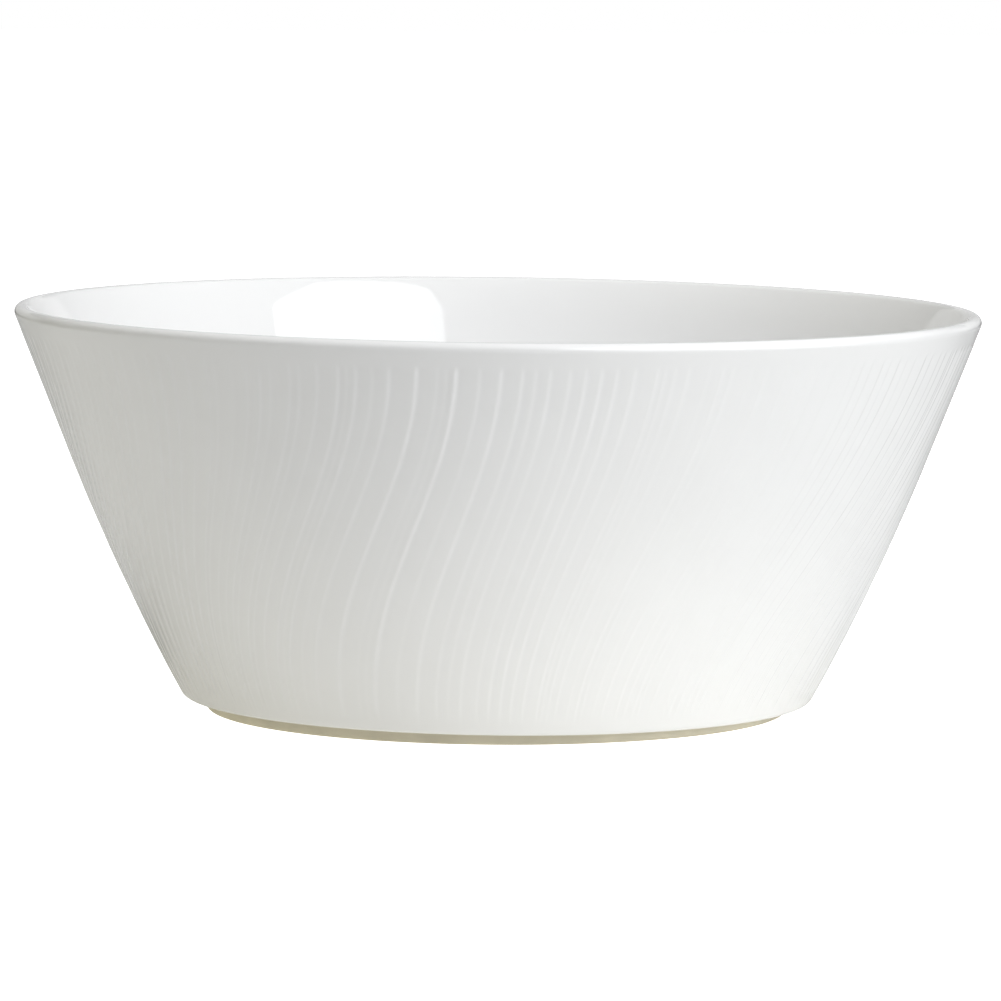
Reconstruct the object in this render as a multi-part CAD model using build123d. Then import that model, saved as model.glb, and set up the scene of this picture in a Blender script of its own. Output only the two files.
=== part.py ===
from build123d import *
from math import asin, cos, degrees, radians, sin
import os

# Porcelain serving bowl: a flared, glazed bowl on a low foot ring of bare clay.
# The fired body carries four coats of glaze. Each coat is a thin solid of its own, which lies on
# the body face to face. Everything is turned about Z, from half sections drawn as (radius, height).
# The origin is the middle of the circle that the bowl stands on. Millimetres and degrees.
# The outside is drawn smooth, through the crests of its fine ribs.

# Bowl, over the glaze
RIM_RADIUS = 120.0
HEIGHT = 100.0
WALL = 3.6  # thickness, the same from the lip down to the inner corner
FLOOR = 4.8  # thickness
UPPER_LEAN = 21.5  # of the straight upper wall, away from vertical
LOWER_LEAN = 28.0  # of the wall where it meets the outer corner
BELLY_RADIUS = 600.0  # of the gentle bulge between those two leans
OUTER_CORNER_RADIUS = 2.0
INNER_CORNER_RADIUS = 16.0

# Foot ring
FOOT_RADIUS = 72.5
FOOT_HEIGHT = 3.0
FOOT_WIDTH = 5.0
FOOT_EDGE_RADIUS = 0.8

# Glaze
GLAZE = 0.35  # thickness of each coat
RIM_BAND = 3.0  # how far the rim's smooth coat runs down the wall, on both sides


def on_circle(centre, radius, angle):
    """The point at this angle on a circle of the half section."""
    x, z = centre
    return (x + radius * cos(radians(angle)), z + radius * sin(radians(angle)))


# The lip is a half circle, so its centre leads to those of the belly and the two corners.
LIP_RADIUS = WALL / 2
LIP = (RIM_RADIUS - LIP_RADIUS, HEIGHT - LIP_RADIUS)
belly_to_corner = BELLY_RADIUS - OUTER_CORNER_RADIUS
belly_level = FOOT_HEIGHT + OUTER_CORNER_RADIUS + belly_to_corner * sin(radians(LOWER_LEAN))
belly_to_lip = BELLY_RADIUS - LIP_RADIUS
straight_rise = LIP[1] - belly_level + belly_to_lip * sin(radians(UPPER_LEAN))
STRAIGHT_WALL = straight_rise / cos(radians(UPPER_LEAN))
belly_across = belly_to_lip * cos(radians(UPPER_LEAN)) + STRAIGHT_WALL * sin(radians(UPPER_LEAN))
BELLY = (LIP[0] - belly_across, belly_level)
OUTER_CORNER = on_circle(BELLY, belly_to_corner, -LOWER_LEAN)
inside_to_corner = BELLY_RADIUS - WALL - INNER_CORNER_RADIUS
inner_corner_level = FOOT_HEIGHT + FLOOR + INNER_CORNER_RADIUS
INNER_LEAN = degrees(asin((belly_level - inner_corner_level) / inside_to_corner))
INNER_CORNER = on_circle(BELLY, inside_to_corner, -INNER_LEAN)


def on_wall(depth, side, inset):
    """The point of the straight wall this far below the lip, under the glaze by the inset."""
    x, z = on_circle(LIP, LIP_RADIUS - inset, side)
    return (x - depth * sin(radians(UPPER_LEAN)), z - depth * cos(radians(UPPER_LEAN)))


OUTSIDE = -UPPER_LEAN  # the directions that the two sides of the straight wall face
INSIDE = 180 - UPPER_LEAN


def outside_line(inset):
    """From the foot ring, round the outer corner and up the wall to the rim's coat."""
    corner = OUTER_CORNER_RADIUS - inset
    belly = BELLY_RADIUS - inset
    return [
        Line((FOOT_RADIUS, FOOT_HEIGHT + inset), on_circle(OUTER_CORNER, corner, -90)),
        CenterArc(OUTER_CORNER, corner, -90, 90 - LOWER_LEAN),
        CenterArc(BELLY, belly, -LOWER_LEAN, LOWER_LEAN - UPPER_LEAN),
        Line(on_wall(STRAIGHT_WALL, OUTSIDE, inset), on_wall(RIM_BAND, OUTSIDE, inset)),
    ]


def rim_line(inset):
    """Over the lip, with a short straight stretch on each side."""
    return [
        Line(on_wall(RIM_BAND, OUTSIDE, inset), on_wall(0, OUTSIDE, inset)),
        CenterArc(LIP, LIP_RADIUS - inset, OUTSIDE, 180),
        Line(on_wall(0, INSIDE, inset), on_wall(RIM_BAND, INSIDE, inset)),
    ]


def inside_line(inset):
    """From the rim's coat down the inside and along the floor to the middle."""
    corner = INNER_CORNER_RADIUS + inset
    belly = BELLY_RADIUS - WALL + inset
    return [
        Line(on_wall(RIM_BAND, INSIDE, inset), on_wall(STRAIGHT_WALL, INSIDE, inset)),
        CenterArc(BELLY, belly, -UPPER_LEAN, UPPER_LEAN - INNER_LEAN),
        CenterArc(INNER_CORNER, corner, -INNER_LEAN, INNER_LEAN - 90),
        Line(on_circle(INNER_CORNER, corner, -90), (0, FOOT_HEIGHT + FLOOR - inset)),
    ]


def turned(edges):
    """The solid made by turning a closed half section about Z."""
    return revolve(Plane.XZ * make_face(edges), Axis.Z)


def coat(line):
    """A coat of glaze, between its own surface and the body's."""
    outer, inner = line(0), line(GLAZE)
    ends = [Line(outer[0] @ 0, inner[0] @ 0), Line(outer[-1] @ 1, inner[-1] @ 1)]
    return turned(outer + inner + ends)


def porcelain_body():
    """The fired clay of the floor and the wall."""
    middle_low = (0, FOOT_HEIGHT + GLAZE)
    middle_high = (0, FOOT_HEIGHT + FLOOR - GLAZE)
    underside = Line(middle_low, (FOOT_RADIUS, FOOT_HEIGHT + GLAZE))
    edges = outside_line(GLAZE) + rim_line(GLAZE) + inside_line(GLAZE)
    return turned([underside] + edges + [Line(middle_high, middle_low)])


def foot_ring():
    """The bare ring under the floor, with its two standing edges rounded."""
    corner = (FOOT_RADIUS, 0)
    section = Pos(*corner) * Rectangle(FOOT_WIDTH, FOOT_HEIGHT + GLAZE, align=(Align.MAX, Align.MIN))
    standing_edges = section.vertices().sort_by(Axis.Y)[:2]
    return turned(fillet(standing_edges, FOOT_EDGE_RADIUS).edges())


def base_glaze():
    """The coat on the underside, within the foot ring."""
    disc = Cylinder(FOOT_RADIUS - FOOT_WIDTH, GLAZE, align=(Align.CENTER, Align.CENTER, Align.MIN))
    return Pos(0, 0, FOOT_HEIGHT) * disc


nodes = {
    "porcelain_body": porcelain_body(),
    "foot_ring": foot_ring(),
    "outer_glaze": coat(outside_line),
    "rim_glaze": coat(rim_line),
    "inner_glaze": coat(inside_line),
    "base_glaze": base_glaze(),
}

os.makedirs("parts", exist_ok=True)
for name, shape in nodes.items():
    export_step(shape, f"parts/{name}.step")
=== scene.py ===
import math

import bpy
import numpy as np
from mathutils import Matrix, Vector


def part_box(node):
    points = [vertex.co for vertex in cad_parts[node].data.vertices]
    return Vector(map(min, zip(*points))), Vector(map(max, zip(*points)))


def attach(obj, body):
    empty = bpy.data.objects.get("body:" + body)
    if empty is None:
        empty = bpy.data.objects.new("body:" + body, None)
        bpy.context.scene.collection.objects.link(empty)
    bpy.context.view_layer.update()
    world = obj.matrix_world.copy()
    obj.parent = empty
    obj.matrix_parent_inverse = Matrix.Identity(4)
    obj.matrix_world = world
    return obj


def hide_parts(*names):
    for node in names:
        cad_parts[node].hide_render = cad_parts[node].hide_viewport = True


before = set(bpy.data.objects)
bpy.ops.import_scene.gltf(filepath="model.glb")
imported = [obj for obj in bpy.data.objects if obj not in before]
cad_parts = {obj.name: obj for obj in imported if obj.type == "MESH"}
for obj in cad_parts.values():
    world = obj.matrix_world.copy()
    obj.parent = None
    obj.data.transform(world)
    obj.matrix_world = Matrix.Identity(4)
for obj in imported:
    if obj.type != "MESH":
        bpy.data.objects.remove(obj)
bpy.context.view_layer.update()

# ---------------------------------------------------------------------------------------------
# Sizes in metres and degrees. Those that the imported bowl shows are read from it, to 0.1 mm.
# ---------------------------------------------------------------------------------------------


def top_of(node, axis):
    """A node's highest coordinate along an axis, without the small error of its mesh."""
    return round(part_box(node)[1][axis], 4)


X, Z = 0, 2
RIM_RADIUS = top_of("rim_glaze", X)
HEIGHT = top_of("rim_glaze", Z)
FOOT_RADIUS = top_of("foot_ring", X)
FOOT_HEIGHT = round(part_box("base_glaze")[0].z, 4)
GLAZE = 0.00035
WALL = 0.0036
FLOOR = 0.0048
FOOT_WIDTH = 0.005
FOOT_EDGE_RADIUS = 0.0008
RIM_BAND = 0.003
UPPER_LEAN = 21.5
LOWER_LEAN = 28.0
BELLY_RADIUS = 0.6
OUTER_CORNER_RADIUS = 0.002
INNER_CORNER_RADIUS = 0.016
ROLL_RADIUS = 0.08  # the inside rolls over gently before the lip
ROLL = 5.8
FAN_RADIUS = 0.001  # within this a fan of triangles closes a mesh round the axis


# ---------------------------------------------------------------------------------------------
# The half section, as (radius, height) points
# ---------------------------------------------------------------------------------------------


def sine(angle):
    return math.sin(math.radians(angle))


def cosine(angle):
    return math.cos(math.radians(angle))


def on_circle(centre, radius, angle):
    return (centre[0] + radius * cosine(angle), centre[1] + radius * sine(angle))


LIP_RADIUS = WALL / 2
LIP = (RIM_RADIUS - LIP_RADIUS, HEIGHT - LIP_RADIUS)
belly_to_corner = BELLY_RADIUS - OUTER_CORNER_RADIUS
belly_level = FOOT_HEIGHT + OUTER_CORNER_RADIUS + belly_to_corner * sine(LOWER_LEAN)
belly_to_lip = BELLY_RADIUS - LIP_RADIUS
STRAIGHT_WALL = (LIP[1] - belly_level + belly_to_lip * sine(UPPER_LEAN)) / cosine(UPPER_LEAN)
belly_across = belly_to_lip * cosine(UPPER_LEAN) + STRAIGHT_WALL * sine(UPPER_LEAN)
BELLY = (LIP[0] - belly_across, belly_level)
OUTER_CORNER = on_circle(BELLY, belly_to_corner, -LOWER_LEAN)
SWELL = (ROLL_RADIUS - LIP_RADIUS) * (1 - cosine(ROLL))  # the roll leaves the wall this much thicker
INSIDE_RADIUS = BELLY_RADIUS - WALL - SWELL
inside_to_corner = INSIDE_RADIUS - INNER_CORNER_RADIUS
inner_corner_level = FOOT_HEIGHT + FLOOR + INNER_CORNER_RADIUS
INNER_LEAN = math.degrees(math.asin((belly_level - inner_corner_level) / inside_to_corner))
INNER_CORNER = on_circle(BELLY, inside_to_corner, -INNER_LEAN)
OUTSIDE = -UPPER_LEAN
INSIDE = 180 - UPPER_LEAN
ROLL_CENTRE = on_circle(LIP, LIP_RADIUS - ROLL_RADIUS, INSIDE - ROLL)
COAT_JOINT = INSIDE - ROLL + math.degrees(RIM_BAND / ROLL_RADIUS)  # where the coats meet inside


def arc(centre, radius, start, end, steps):
    return [on_circle(centre, radius, a) for a in np.linspace(start, end, steps + 1)]


def run(start, end, steps):
    """Evenly spaced points along a straight stretch."""
    return [tuple(p) for p in np.linspace(start, end, steps + 1)]


def on_wall(depth, side, inset):
    x, z = on_circle(LIP, LIP_RADIUS - inset, side)
    return (x - depth * sine(UPPER_LEAN), z - depth * cosine(UPPER_LEAN))


def joined(*stretches):
    """One line of points from stretches that meet end to end."""
    line = list(stretches[0])
    for stretch in stretches[1:]:
        line += stretch[1:]
    return np.array(line)


def outside_line(inset, fine):
    """From the rim's coat down the wall, round the outer corner and in to the foot ring."""
    corner, belly = OUTER_CORNER_RADIUS - inset, BELLY_RADIUS - inset
    band_end = on_wall(RIM_BAND, OUTSIDE, inset)
    fade_end = on_wall(RIM_BAND * 3, OUTSIDE, inset)
    straight_end = on_wall(STRAIGHT_WALL, OUTSIDE, inset)
    foot_side = (FOOT_RADIUS, FOOT_HEIGHT + inset)
    return joined(
        run(band_end, fade_end, 10 * fine),
        run(fade_end, straight_end, 10 * fine),
        arc(BELLY, belly, -UPPER_LEAN, -LOWER_LEAN, 24 * fine),
        arc(OUTER_CORNER, corner, -LOWER_LEAN, -90, 8),
        run(on_circle(OUTER_CORNER, corner, -90), foot_side, 3),
    )


def rim_line(inset):
    roll = ROLL_RADIUS - inset
    return joined(
        run(on_wall(RIM_BAND, OUTSIDE, inset), on_wall(0, OUTSIDE, inset), 4),
        arc(LIP, LIP_RADIUS - inset, OUTSIDE, INSIDE - ROLL, 28),
        arc(ROLL_CENTRE, roll, INSIDE - ROLL, COAT_JOINT, 6),
    )


def inside_line(inset):
    roll, corner = ROLL_RADIUS - inset, INNER_CORNER_RADIUS + inset
    belly = INSIDE_RADIUS + inset
    floor_middle = (FAN_RADIUS, FOOT_HEIGHT + FLOOR - inset)
    return joined(
        arc(ROLL_CENTRE, roll, COAT_JOINT, INSIDE, 6),
        run(on_circle(ROLL_CENTRE, roll, INSIDE), on_circle(BELLY, belly, -UPPER_LEAN), 10),
        arc(BELLY, belly, -UPPER_LEAN, -INNER_LEAN, 24),
        arc(INNER_CORNER, corner, -INNER_LEAN, -90, 16),
        run(on_circle(INNER_CORNER, corner, -90), floor_middle, 16),
    )


# ---------------------------------------------------------------------------------------------
# Meshes
# ---------------------------------------------------------------------------------------------

SIDE_LEAN = 0.0055  # the rim came out of the kiln this much lower towards +X
AXIS_LEAN = 0.0032  # and the axis leans this much towards -X


def fired(points):
    """The pot as it left the kiln, a little out of true above its level foot."""
    x, y, z = np.moveaxis(points, -1, 0)
    standing = np.clip(z / FOOT_HEIGHT, 0, 1)
    return np.stack([x - AXIS_LEAN * z, y, z - SIDE_LEAN * x * standing], -1)


def turned(line, angles):
    """Rows of points: each point of a line, at each angle. Angle 0 is the front, -Y."""
    radius, height = line[:, :1], line[:, 1:]
    angles = np.broadcast_to(angles, (len(line), np.shape(angles)[-1]))
    x, y = radius * np.sin(angles), -radius * np.cos(angles)
    return np.stack([x, y, np.broadcast_to(height, x.shape)], -1)


def around(columns):
    return np.radians(np.linspace(0, 360, columns, endpoint=False))


def skin(name, rows, closed):
    """A watertight piece, facing outward, from rows of points round the axis.

    The rows go round a ring-like piece and meet again (closed), or they run from one point on
    the axis to another, and then a fan of triangles closes each end.
    """
    rows = fired(rows)
    count, columns = rows.shape[:2]
    points = rows.reshape(-1, 3)
    here = np.arange(count * columns).reshape(count, columns)
    after = np.roll(here, -1, axis=1)
    if closed:
        quads = np.stack([here, np.roll(here, -1, 0), np.roll(after, -1, 0), after], -1)
    else:
        quads = np.stack([here[:-1], here[1:], after[1:], after[:-1]], -1)
    faces = quads.reshape(-1, 4).tolist()
    if not closed:
        ends = np.stack([rows[0].mean(0), rows[-1].mean(0)])
        first, last = len(points), len(points) + 1
        points = np.vstack([points, ends])
        faces += [[first, a, b] for a, b in zip(here[0], after[0])]
        faces += [[last, b, a] for a, b in zip(here[-1], after[-1])]
    mesh = bpy.data.meshes.new(name)
    mesh.from_pydata(points.tolist(), [], faces)
    mesh.validate()
    mesh.shade_smooth()
    mesh.set_sharp_from_angle(angle=math.radians(35))
    piece = bpy.data.objects.new(name, mesh)
    bpy.context.scene.collection.objects.link(piece)
    return piece


# ---------------------------------------------------------------------------------------------
# The ribs of the outside
# ---------------------------------------------------------------------------------------------

RIB_COLUMNS = 2400
WALL_TOP = HEIGHT - LIP_RADIUS  # a "fall" is 0 at this height and 1 at the next
WALL_FOOT = FOOT_HEIGHT + OUTER_CORNER_RADIUS
RIB_GAP = 1.9  # mean spacing, in degrees
RIB_GAP_SPREAD = 0.5
RIB_GAP_LEAST = 0.8
RIB_STEP = 0.00026  # how far the steep side of a rib falls, before its edges are blurred
RIB_STEP_SHARES = (0.45, 1.15)  # the least and the most of it that an ordinary rib falls
RIB_SOFTNESS = 0.18  # the blur of its edges, in degrees
# The boldest ribs: the angle of each at the rim, and how far it falls against RIB_STEP.
BOLD_RIBS = {-16.3: 1.1, -9.3: 1.7, -4.8: 2.1, 0.4: 1.4, 2.8: 1.0, 6.0: 1.0, 11.7: 1.2, 18.3: 1.1}
RIB_START = (WALL_TOP - on_wall(RIM_BAND, OUTSIDE, 0)[1]) / (WALL_TOP - WALL_FOOT)
RIB_START_LENGTH = 0.025  # the fall over which the ribs reach their full depth
RIB_END_LENGTH = 0.05
SWEEP = 17.6  # how many degrees the ribs sweep on the way down, on average
SWEEP_WAVES = [(3.6, 2, 75), (2.9, 5, 13), (1.8, 7, 22)]  # its size, waves round the rim, phase
FRONT_FADE = 0.55  # how much shallower the ribs are low down at the front and the back
LEFT_FADE = 0.7  # and how much shallower high up at the left

chance = np.random.default_rng(11)


def smooth_step(value):
    value = np.clip(value, 0, 1)
    return value * value * (3 - 2 * value)


def falls(line):
    """How far down the wall each point of a line is, as a column of numbers from 0 to 1."""
    return np.clip((WALL_TOP - line[:, 1:]) / (WALL_TOP - WALL_FOOT), 0, 1)


def rib_sweep(start, fall):
    """How many degrees the rib that starts at this angle has swept, at this fall down the wall."""
    reach = SWEEP
    for size, waves, phase in SWEEP_WAVES:
        reach = reach + size * np.cos(waves * (np.radians(start) + math.radians(phase)))
    return reach * smooth_step(fall**1.12)


def rib_crests():
    """Crest angles round the rim, unevenly spaced, and how far each rib falls."""
    gaps = chance.normal(RIB_GAP, RIB_GAP_SPREAD, round(360 / RIB_GAP))
    gaps = np.clip(gaps, RIB_GAP_LEAST, None)
    crests = np.cumsum(gaps) / gaps.sum() * 360 - 180
    steps = RIB_STEP * chance.uniform(*RIB_STEP_SHARES, len(crests))
    for angle, strength in BOLD_RIBS.items():
        nearest = np.argmin(abs(crests - angle))
        crests[nearest] = angle
        steps[nearest] = strength * RIB_STEP
    return crests, steps


def rib_section(starts):
    """The ribs' cross-section: each rises gently to the right and drops steeply past its crest."""
    crests, steps = rib_crests()
    crests = np.concatenate([crests[-1:] - 360, crests, crests[:1] + 360])
    steps = np.concatenate([steps[-1:], steps, steps[:1]])
    left = np.clip(np.searchsorted(crests, starts, side="right") - 1, 0, len(crests) - 2)
    share = (starts - crests[left]) / (crests[left + 1] - crests[left])
    rise = (steps[left] + steps[left + 1]) / 2
    section = rise * share - steps[left] / 2
    pitch = 360 / len(starts)
    reach = np.arange(-4 * RIB_SOFTNESS, 4 * RIB_SOFTNESS, pitch)
    blur = np.exp(-((reach / RIB_SOFTNESS) ** 2) / 2)
    around_twice = np.concatenate([section[-len(blur):], section, section[: len(blur)]])
    soft = np.convolve(around_twice, blur / blur.sum(), mode="same")[len(blur):-len(blur)]
    deeper_at_the_sides = 1.05 - 0.35 * np.cos(2 * np.radians(starts))
    return (soft - soft.mean()) * deeper_at_the_sides


def rib_strength(starts, angles, fall):
    """How much of its depth each rib has, at each angle and fall."""
    begun = smooth_step((fall - RIB_START) / RIB_START_LENGTH)
    ended = smooth_step((1 - fall) / RIB_END_LENGTH)
    front = np.cos(angles - math.radians(5)) ** 4 * smooth_step(fall / 0.35)
    left = np.clip(np.cos(np.radians(starts + 80)), 0, 1) ** 4 * (1 - smooth_step(fall / 0.5))
    return begun * ended * (1 - FRONT_FADE * front) * (1 - LEFT_FADE * left)


def outward_normals(line):
    """The unit normals of a line that runs down the outside."""
    slope = np.gradient(line, axis=0)
    slope /= np.linalg.norm(slope, axis=1)[:, None]
    return np.stack([-slope[:, 1], slope[:, 0]], -1)


def ribbed_outside():
    """The outer coat: ribs on its outside, smooth where it lies on the body."""
    starts = np.linspace(-180, 180, RIB_COLUMNS, endpoint=False)
    face = outside_line(0, 2)
    fall = falls(face)
    angles = np.radians(starts - rib_sweep(starts, fall))
    depth = rib_section(starts) * rib_strength(starts, angles, fall)
    ribs = turned(face, angles) + depth[..., None] * turned(outward_normals(face), angles)
    back = outside_line(GLAZE, 1)[::-1]
    back_angles = np.radians(starts - rib_sweep(starts, falls(back)))
    return skin("outer_coat", np.concatenate([ribs, turned(back, back_angles)]), closed=True)


def rim_coat():
    loop = np.concatenate([rim_line(GLAZE), rim_line(0)[::-1]])
    return skin("rim_coat", turned(loop, around(960)), closed=True)


def inner_coat():
    line = np.concatenate([inside_line(0)[::-1], inside_line(GLAZE)])
    return skin("inner_coat", turned(line, around(640)), closed=False)


def clay_body():
    underside = run((FAN_RADIUS, FOOT_HEIGHT + GLAZE), (FOOT_RADIUS, FOOT_HEIGHT + GLAZE), 8)
    line = joined(
        underside,
        outside_line(GLAZE, 1)[::-1].tolist(),
        rim_line(GLAZE).tolist(),
        inside_line(GLAZE).tolist(),
    )
    return skin("clay_body", turned(line[::-1], around(480)), closed=False)


def standing_ring():
    inner = FOOT_RADIUS - FOOT_WIDTH
    top = FOOT_HEIGHT + GLAZE
    edge = FOOT_EDGE_RADIUS
    loop = joined(
        run((FOOT_RADIUS, top), (FOOT_RADIUS, edge), 6),
        arc((FOOT_RADIUS - edge, edge), edge, 0, -90, 8),
        run((FOOT_RADIUS - edge, 0), (inner + edge, 0), 6),
        arc((inner + edge, edge), edge, -90, -180, 8),
        run((inner, edge), (inner, top), 6),
    )
    return skin("standing_ring", turned(loop, around(960)), closed=True)


def base_coat():
    edge = FOOT_RADIUS - FOOT_WIDTH
    line = joined(
        run((FAN_RADIUS, FOOT_HEIGHT), (edge, FOOT_HEIGHT), 16),
        run((edge, FOOT_HEIGHT), (edge, FOOT_HEIGHT + GLAZE), 2),
        run((edge, FOOT_HEIGHT + GLAZE), (FAN_RADIUS, FOOT_HEIGHT + GLAZE), 4),
    )
    return skin("base_coat", turned(line[::-1], around(720)), closed=False)


# ---------------------------------------------------------------------------------------------
# Materials
# ---------------------------------------------------------------------------------------------


def new_material(name):
    """A material with its node tree, its Principled shader and a texture coordinate node."""
    material = bpy.data.materials.new(name)
    material.use_nodes = True
    tree = material.node_tree
    shader = tree.nodes["Principled BSDF"]
    place = tree.nodes.new("ShaderNodeTexCoord")
    return material, tree, shader, place.outputs["Object"]


def noise(tree, place, scale, detail=3.0):
    node = tree.nodes.new("ShaderNodeTexNoise")
    node.inputs["Scale"].default_value = scale
    node.inputs["Detail"].default_value = detail
    tree.links.new(place, node.inputs["Vector"])
    return node.outputs["Fac"]


def ramp(tree, value, stops):
    """A colour ramp from a list of (position, colour)."""
    node = tree.nodes.new("ShaderNodeValToRGB")
    elements = node.color_ramp.elements
    while len(elements) < len(stops):
        elements.new(0.5)
    for element, (position, colour) in zip(elements, stops):
        element.position = position
        element.color = (*colour, 1)
    tree.links.new(value, node.inputs["Fac"])
    return node.outputs["Color"]


def span(tree, value, at_start, at_end, start=0, end=1):
    """A value that goes from at_start to at_end while the given one goes from start to end."""
    node = tree.nodes.new("ShaderNodeMapRange")
    node.inputs["From Min"].default_value = start
    node.inputs["From Max"].default_value = end
    node.inputs["To Min"].default_value = at_start
    node.inputs["To Max"].default_value = at_end
    tree.links.new(value, node.inputs["Value"])
    return node.outputs["Result"]


def bump(tree, shader, height, distance, strength):
    node = tree.nodes.new("ShaderNodeBump")
    node.inputs["Distance"].default_value = distance
    node.inputs["Strength"].default_value = strength
    tree.links.new(height, node.inputs["Height"])
    tree.links.new(node.outputs["Normal"], shader.inputs["Normal"])


def glaze(name, colour):
    """Glossy white glaze, faintly uneven in thickness, with the soft waviness of a fired coat."""
    material, tree, shader, place = new_material(name)
    cloud = noise(tree, place, 22)
    thin = tuple(c * 0.985 for c in colour)
    tint = ramp(tree, cloud, [(0.35, thin), (0.65, colour)])
    tree.links.new(tint, shader.inputs["Base Color"])
    tree.links.new(span(tree, noise(tree, place, 60), 0.03, 0.06), shader.inputs["Roughness"])
    shader.inputs["IOR"].default_value = 1.6
    bump(tree, shader, noise(tree, place, 160, 1.0), 0.00002, 0.5)
    return material


def bare_clay(name, colour):
    """Unglazed fired clay: matt, fine-grained, a little darker where it has been handled."""
    material, tree, shader, place = new_material(name)
    dark = tuple(c * 0.86 for c in colour)
    cloud = ramp(tree, noise(tree, place, 90, 5.0), [(0.3, dark), (0.7, colour)])
    tree.links.new(cloud, shader.inputs["Base Color"])
    tree.links.new(span(tree, noise(tree, place, 400), 0.55, 0.8), shader.inputs["Roughness"])
    bump(tree, shader, noise(tree, place, 2500, 2.0), 0.00004, 0.6)
    return material


# ---------------------------------------------------------------------------------------------
# The object
# ---------------------------------------------------------------------------------------------

WHITE = (0.80, 0.80, 0.80)
PIECES = [
    (clay_body, "porcelain_body", "fired_clay", bare_clay("fired_clay", (0.8, 0.78, 0.72))),
    # Painted shade: the foot's bare clay is coloured darker and warmer than white bisque, for the
    # shade under the overhang and the warm light the table throws up.
    (standing_ring, "foot_ring", "bare_foot", bare_clay("bare_foot", (0.68, 0.635, 0.51))),
    (ribbed_outside, "outer_glaze", "outer_glaze", glaze("outer_glaze", WHITE)),
    (rim_coat, "rim_glaze", "rim_glaze", glaze("rim_glaze", WHITE)),
    (inner_coat, "inner_glaze", "inner_glaze", glaze("inner_glaze", WHITE)),
    (base_coat, "base_glaze", "base_glaze", glaze("base_glaze", WHITE)),
]
for make, node, slot, material in PIECES:
    piece = make()
    piece.data.materials.append(material)
    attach(piece, "root")
    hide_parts(node)


# ---------------------------------------------------------------------------------------------
# Floor, light and camera
# ---------------------------------------------------------------------------------------------


FLOOR_RADIUS = 6.0
FLOOR_GAP = 0.00005  # between the foot and the floor, so that no faces coincide
FLOOR_SHADE = 0.67
# painted shade: the floor's colour behind the bowl, darker for the less-lit floor there
FLOOR_PAINTED_SHADE_BEHIND = 0.45
BEHIND_START, BEHIND_END = 0.1, 0.3
GLOW = 0.43
GLOW_COLOUR = (1.0, 0.98, 0.88, 1)
GLOW_MIDDLE = (0.006, -0.055, 0)
GLOW_INNER, GLOW_OUTER = 0.06, 0.16


def shade_floor(tree, shader, place):
    """Painted shade: the floor's colour is darker behind the bowl, where its glaze reflects it at
    the sides.
    """
    axes = tree.nodes.new("ShaderNodeSeparateXYZ")
    tree.links.new(place, axes.inputs["Vector"])
    behind = axes.outputs["Y"]
    shade = span(tree, behind, FLOOR_SHADE, FLOOR_PAINTED_SHADE_BEHIND, BEHIND_START, BEHIND_END)
    tree.links.new(shade, shader.inputs["Base Color"])
    shader.inputs["Roughness"].default_value = 0.9


def light_pool(tree, shader, place):
    """A pool of light round the foot, which stands for what a lit table throws up."""
    away = tree.nodes.new("ShaderNodeVectorMath")
    away.operation = "DISTANCE"
    away.inputs[1].default_value = GLOW_MIDDLE
    tree.links.new(place, away.inputs[0])
    pool = span(tree, away.outputs["Value"], GLOW, 0, GLOW_INNER, GLOW_OUTER)
    shader.inputs["Emission Color"].default_value = GLOW_COLOUR
    tree.links.new(pool, shader.inputs["Emission Strength"])


def burn_out(tree, shader):
    """Adds white that only the camera sees, as in an overexposed background."""
    path = tree.nodes.new("ShaderNodeLightPath")
    white = tree.nodes.new("ShaderNodeEmission")
    tree.links.new(path.outputs["Is Camera Ray"], white.inputs["Strength"])
    both = tree.nodes.new("ShaderNodeAddShader")
    tree.links.new(shader.outputs["BSDF"], both.inputs[0])
    tree.links.new(white.outputs["Emission"], both.inputs[1])
    output = tree.nodes["Material Output"]
    tree.links.new(both.outputs["Shader"], output.inputs["Surface"])


def floor():
    bpy.ops.mesh.primitive_circle_add(vertices=96, radius=FLOOR_RADIUS, fill_type="NGON")
    disc = bpy.context.object
    disc.name = "floor"
    disc.location.z = -FLOOR_GAP
    material, tree, shader, place = new_material("pale_floor")
    shade_floor(tree, shader, place)
    light_pool(tree, shader, place)
    burn_out(tree, shader)
    disc.data.materials.append(material)


def world_light(strength):
    """Even light from all round. The camera sees white."""
    world = bpy.data.worlds.new("studio")
    world.use_nodes = True
    bpy.context.scene.world = world
    tree = world.node_tree
    tree.nodes.clear()
    output = tree.nodes.new("ShaderNodeOutputWorld")
    seen = tree.nodes.new("ShaderNodeBackground")
    seen.inputs["Color"].default_value = (1, 1, 1, 1)
    seen.inputs["Strength"].default_value = 1.0
    lit = tree.nodes.new("ShaderNodeBackground")
    lit.inputs["Strength"].default_value = strength
    path = tree.nodes.new("ShaderNodeLightPath")
    mix = tree.nodes.new("ShaderNodeMixShader")
    tree.links.new(path.outputs["Is Camera Ray"], mix.inputs["Fac"])
    tree.links.new(lit.outputs["Background"], mix.inputs[1])
    tree.links.new(seen.outputs["Background"], mix.inputs[2])
    tree.links.new(mix.outputs["Shader"], output.inputs["Surface"])


def towards(azimuth, elevation):
    """The way to a lamp from the bowl. Azimuth 0 is in front, 90 at the right."""
    across = cosine(elevation)
    return Vector((sine(azimuth) * across, -cosine(azimuth) * across, sine(elevation)))


def aim(lamp, azimuth, elevation, distance):
    """Places a lamp in that direction, facing the middle of the bowl."""
    way = towards(azimuth, elevation)
    lamp.location = Vector((0, 0, HEIGHT / 2)) + way * distance
    lamp.rotation_euler = way.to_track_quat("Z", "Y").to_euler()
    lamp.visible_camera = False


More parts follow.
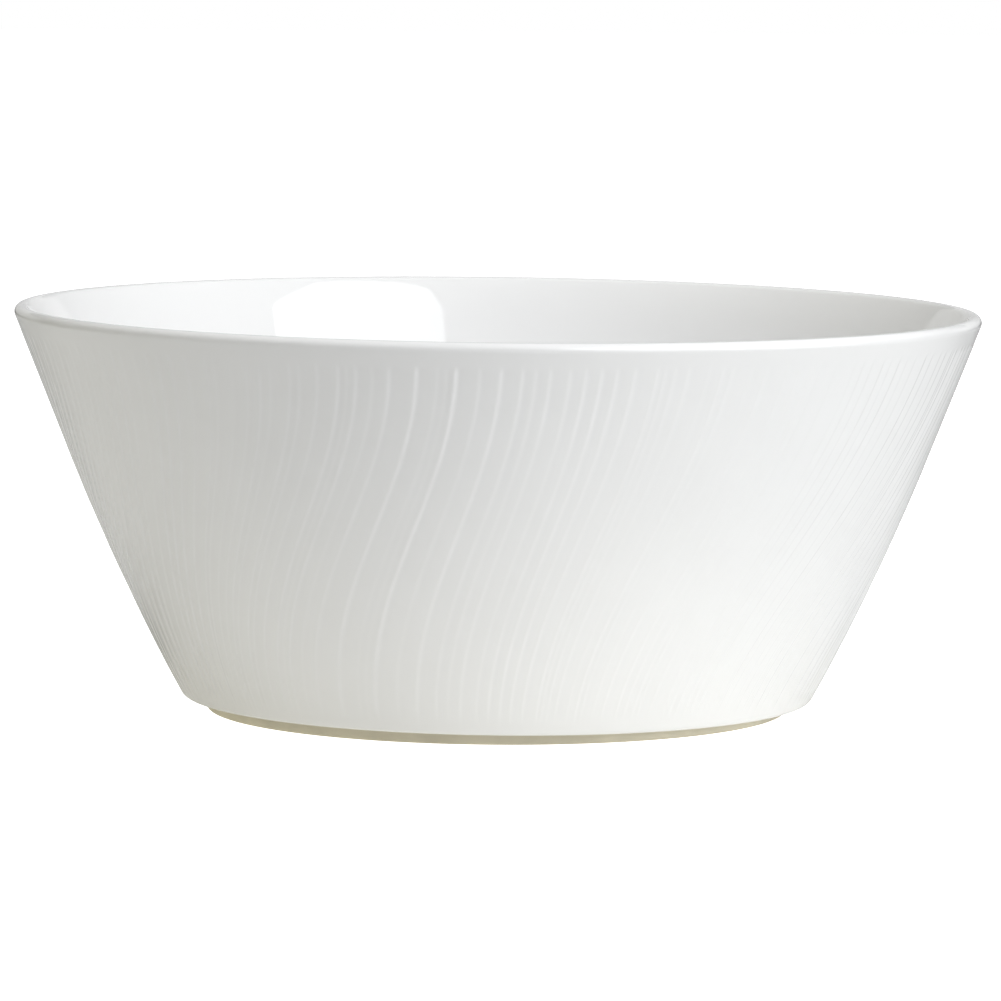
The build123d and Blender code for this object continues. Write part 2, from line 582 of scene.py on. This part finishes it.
def panel(name, azimuth, elevation, distance, width, height, power, colour=(1, 1, 1), shows=True):
    """A large soft panel. One that only fills doesn't show in the glaze."""
    light = bpy.data.lights.new(name, "AREA")
    light.shape = "RECTANGLE"
    light.size, light.size_y = width, height
    light.energy = power
    light.color = colour
    lamp = bpy.data.objects.new(name, light)
    bpy.context.scene.collection.objects.link(lamp)
    aim(lamp, azimuth, elevation, distance)
    lamp.visible_glossy = shows


KEY_TURN = 6  # degrees that the key light is turned about its own aim


def octagonal_box(name, azimuth, elevation, distance, width, glow, colour=(1, 1, 1)):
    """An eight-sided soft box, whose shape shows in the glaze."""
    corner = width / 2 / cosine(22.5)
    points = [(corner * cosine(a), corner * sine(a), 0) for a in np.arange(22.5, 360, 45) + KEY_TURN]
    mesh = bpy.data.meshes.new(name)
    mesh.from_pydata(points, [], [list(range(8))])
    material = bpy.data.materials.new(name)
    material.use_nodes = True
    tree = material.node_tree
    tree.nodes.clear()
    output = tree.nodes.new("ShaderNodeOutputMaterial")
    light = tree.nodes.new("ShaderNodeEmission")
    light.inputs["Color"].default_value = (*colour, 1)
    light.inputs["Strength"].default_value = glow
    tree.links.new(light.outputs["Emission"], output.inputs["Surface"])
    mesh.materials.append(material)
    lamp = bpy.data.objects.new(name, mesh)
    bpy.context.scene.collection.objects.link(lamp)
    aim(lamp, azimuth, elevation, distance)


CAMERA_PLACE = Vector((0, -1.6695, 0.2152))
CAMERA_AIM = Vector((0.0006, 0, 0.0518))
CAMERA_ROLL = math.radians(0.41)
CAMERA_LENS = 241.94


def camera():
    data = bpy.data.cameras.new("camera")
    data.lens = CAMERA_LENS
    data.sensor_width = 36
    data.clip_start, data.clip_end = 0.05, 50
    eye = bpy.data.objects.new("camera", data)
    track = (CAMERA_AIM - CAMERA_PLACE).to_track_quat("-Z", "Y").to_matrix().to_4x4()
    eye.matrix_world = (
        Matrix.Translation(CAMERA_PLACE) @ track @ Matrix.Rotation(CAMERA_ROLL, 4, "Z")
    )
    bpy.context.scene.collection.objects.link(eye)
    bpy.context.scene.camera = eye


floor()
world_light(0.12)
octagonal_box("key", 42.5, 29.5, 1.4, 1.24, 2.66, (0.97, 0.99, 1.0))
panel("overhead", 40, 72, 1.5, 1.2, 1.2, 19.5, shows=False)
panel("left_low", -95, 8, 1.4, 0.9, 0.35, 4.6, (1.0, 0.98, 0.78), shows=False)
panel("right_low", 70, 8, 1.4, 0.9, 0.35, 3.5, (0.985, 1.0, 1.0))
panel("backdrop", 180, 9, 1.4, 2.6, 0.4, 1.4)
panel("back_fill", 195, 30, 1.5, 1.4, 0.9, 6.0, shows=False)
camera()
bpy.context.scene.view_settings.view_transform = "Standard"
